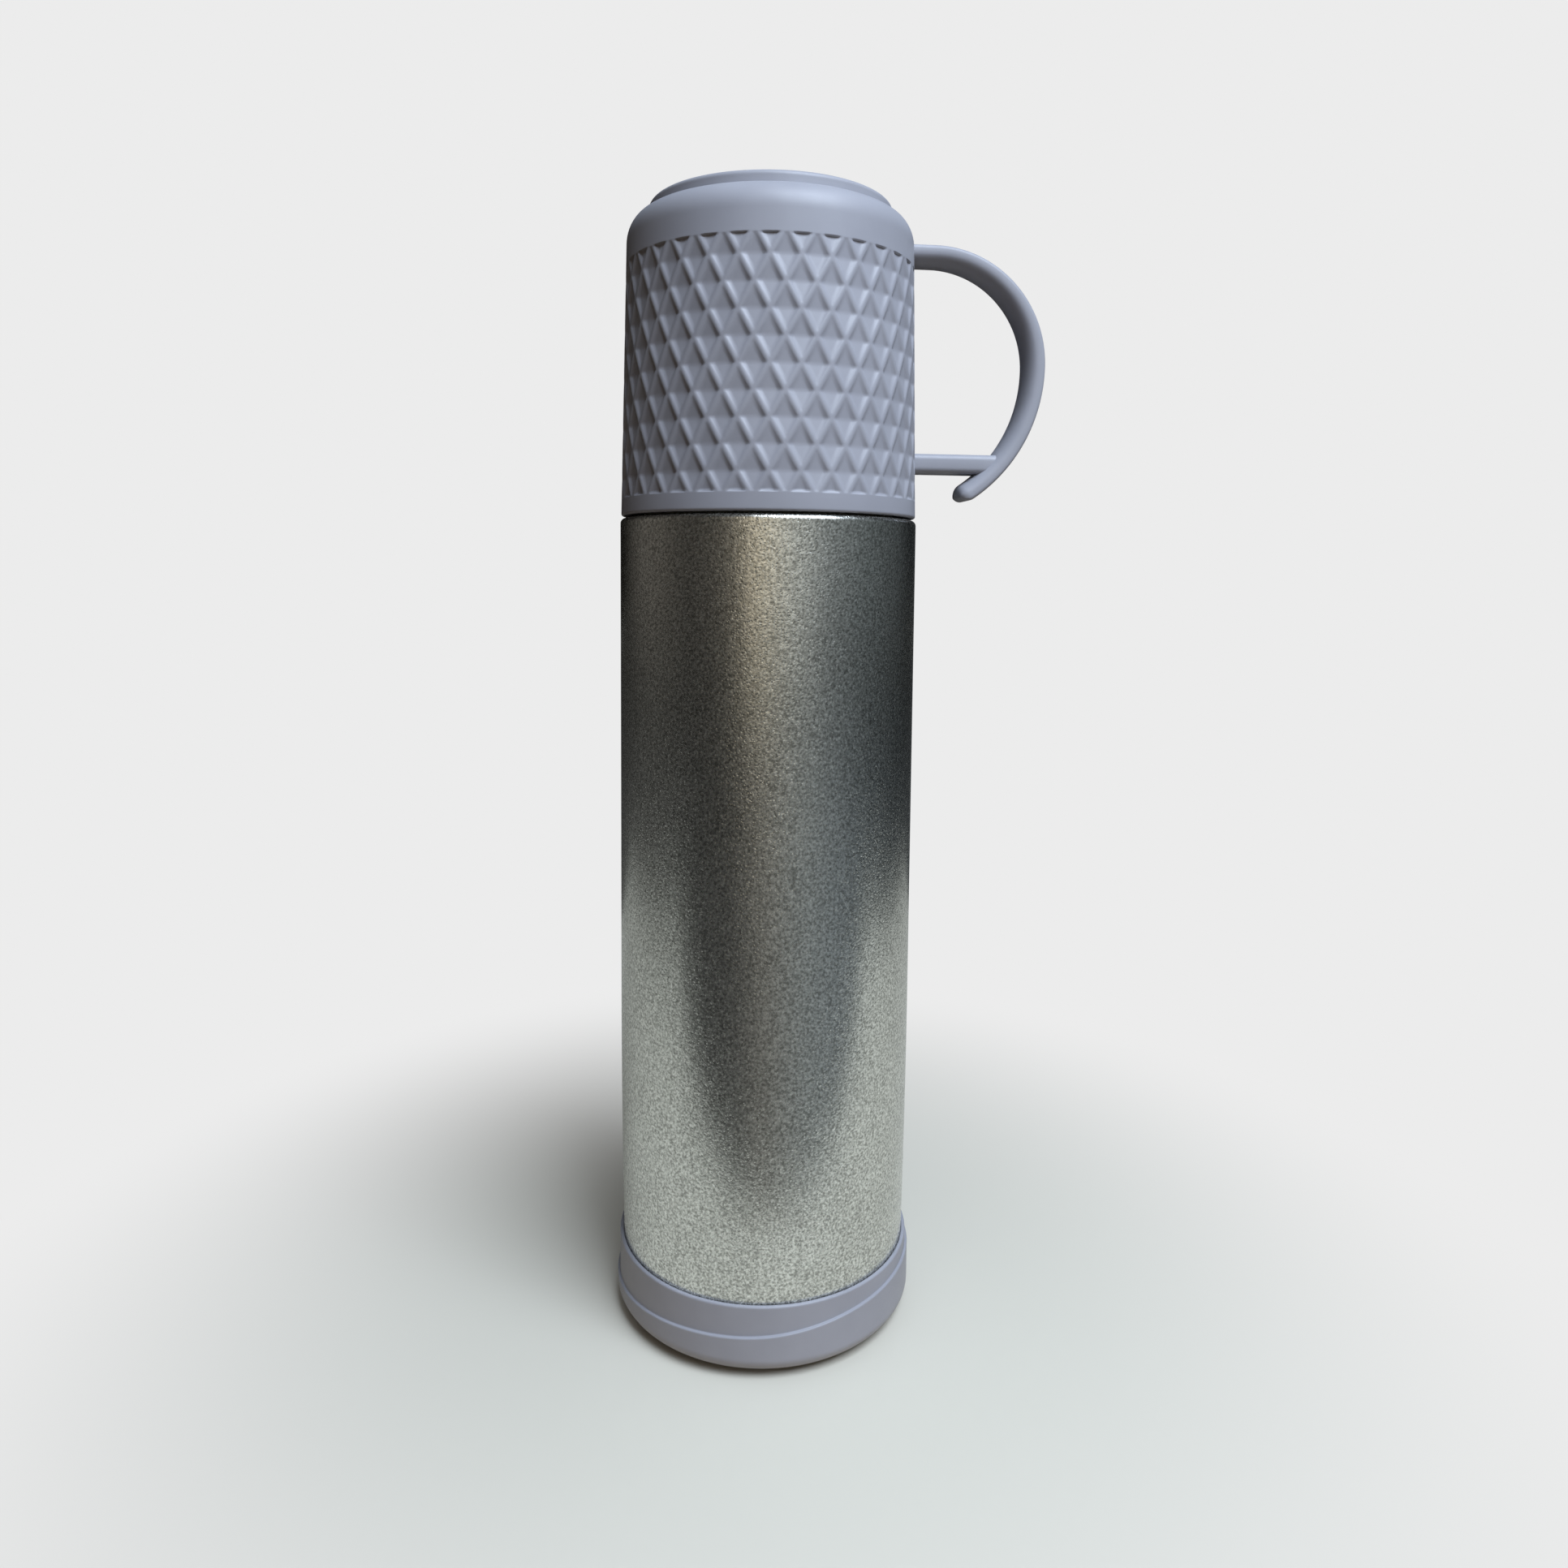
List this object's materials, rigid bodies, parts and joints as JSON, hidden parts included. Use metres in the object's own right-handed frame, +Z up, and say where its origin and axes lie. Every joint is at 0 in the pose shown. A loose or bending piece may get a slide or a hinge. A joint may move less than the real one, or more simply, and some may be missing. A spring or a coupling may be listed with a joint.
{
  "type": "vacuum flask",
  "caption": "Tall double-walled steel vacuum flask with a diamond-textured screw-on cup that has a hooked handle, a push-button stopper and a plastic base cup.",
  "frame": {"origin": "centre of the foot pad's lower face, on the flask's axis", "axes": "+Z up along the flask's axis, +X from the axis towards the cup's handle"},
  "size_m": [0.1018, 0.072, 0.2624],
  "materials": {
    "satin_steel": "fine-grained satin stainless steel under clear lacquer",
    "plain_steel": "electropolished stainless steel",
    "foil": "bright rolled foil",
    "getter_alloy": "sintered dull grey",
    "solder_glass": "opaque solder glass",
    "lilac_plastic": "satin moulded polypropylene, lilac grey",
    "white_plastic": "moulded polypropylene, natural white",
    "silicone": "translucent food-grade silicone",
    "grey_rubber": "matt non-slip rubber",
    "foam": "closed-cell insulating foam"
  },
  "bodies": {
    "flask": {"outer_shell": "satin_steel", "outer_bottom": "plain_steel", "inner_bottle": "plain_steel", "inner_bottom": "plain_steel", "heat_foil": "foil", "getter": "getter_alloy", "vacuum_plug": "solder_glass", "neck_collar": "white_plastic", "base_cup": "lilac_plastic", "foot_pad": "grey_rubber"},
    "mouth_seal": {"stopper_gasket": "silicone"},
    "stopper": {"stopper_body": "white_plastic", "stopper_floor": "white_plastic", "stopper_insulation": "foam", "stopper_grip": "lilac_plastic", "button_spring": "plain_steel"},
    "button": {"push_button": "lilac_plastic", "valve_stem": "white_plastic", "valve_disc": "white_plastic", "valve_gasket": "silicone", "valve_clip": "plain_steel"},
    "liner": {"cup_liner": "plain_steel"},
    "cup": {"cup_shell": "lilac_plastic", "cup_foot": "lilac_plastic", "cup_handle": "lilac_plastic"}
  },
  "joints": [
    {"name": "cup_lift", "type": "slide", "parent": "flask", "child": "liner", "axis": [0, 0, 1], "range_m": [0, 0.08]},
    {"name": "cup_turn", "type": "hinge", "parent": "liner", "child": "cup", "pos_m": [0, 0, 0.191], "axis": [0, 0, 1], "continuous": true},
    {"name": "stopper_lift", "type": "slide", "parent": "flask", "child": "mouth_seal", "axis": [0, 0, 1], "range_m": [0, 0.032]},
    {"name": "stopper_turn", "type": "hinge", "parent": "mouth_seal", "child": "stopper", "pos_m": [0, 0, 0.207], "axis": [0, 0, 1], "continuous": true},
    {"name": "button_press", "type": "slide", "parent": "stopper", "child": "button", "axis": [0, 0, -1], "range_m": [0, 0.003], "stiffness_N_per_m": 400, "springref_m": -0.004, "deforming": ["button_spring"]}
  ]
}
